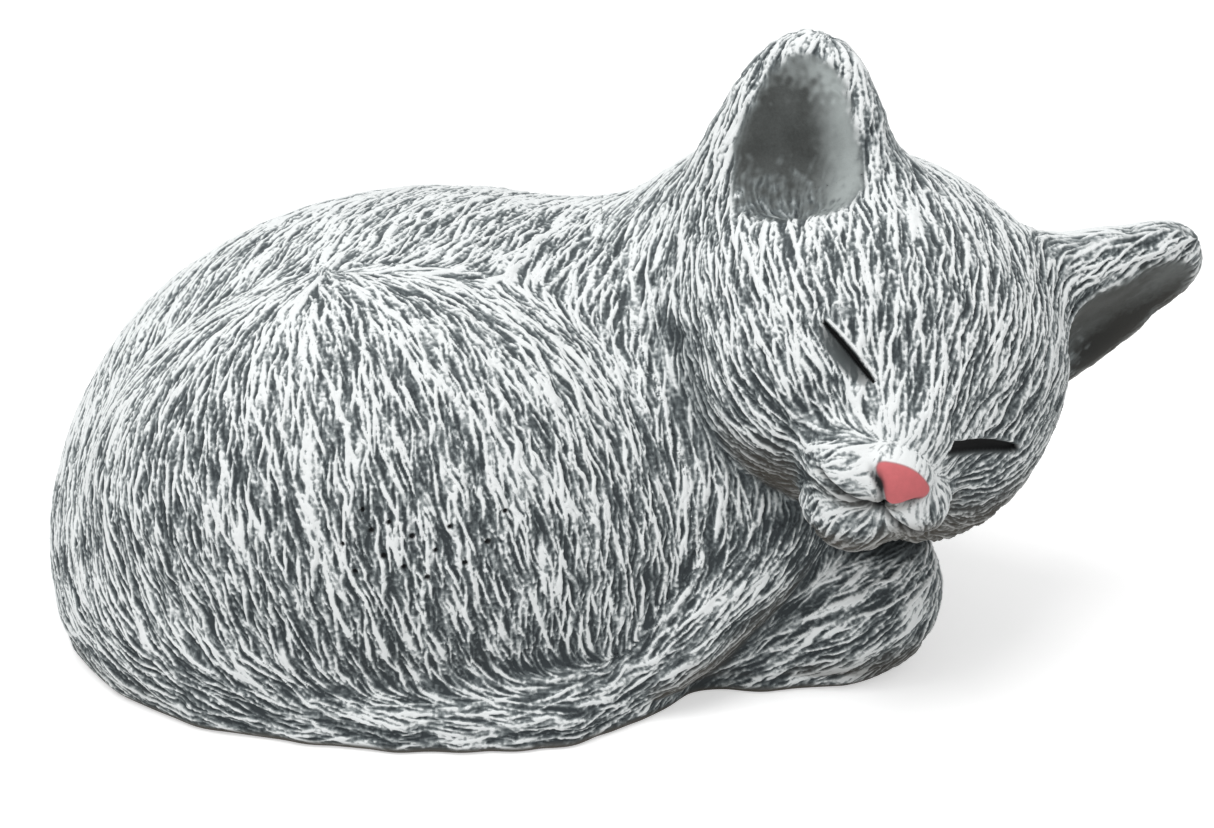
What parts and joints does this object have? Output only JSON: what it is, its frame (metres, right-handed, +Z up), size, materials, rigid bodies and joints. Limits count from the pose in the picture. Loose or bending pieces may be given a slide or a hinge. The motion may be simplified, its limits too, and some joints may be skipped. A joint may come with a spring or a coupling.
{
  "type": "figurine",
  "caption": "Sleeping kitten figurine, curled on a flat base with its tail round its front and its chin on a paw; carved fur, closed eyes, cupped ears.",
  "frame": {"origin": "on the flat base that the figurine rests on, near the middle of its footprint", "axes": "+Z up out of the base; +X from the rump towards the head, along the length; -Y towards the side that the face looks to"},
  "size_m": [0.2094, 0.1237, 0.1199],
  "materials": {
    "painted_stone": "matte",
    "pink_paint": "matte"
  },
  "bodies": {
    "root": {"body": "painted_stone", "shoulder": "painted_stone", "haunch": "painted_stone", "tail": "painted_stone", "forepaw": "painted_stone", "head": "painted_stone", "muzzle": "painted_stone", "nose": "pink_paint", "left_ear": "painted_stone", "right_ear": "painted_stone"}
  },
  "joints": []
}
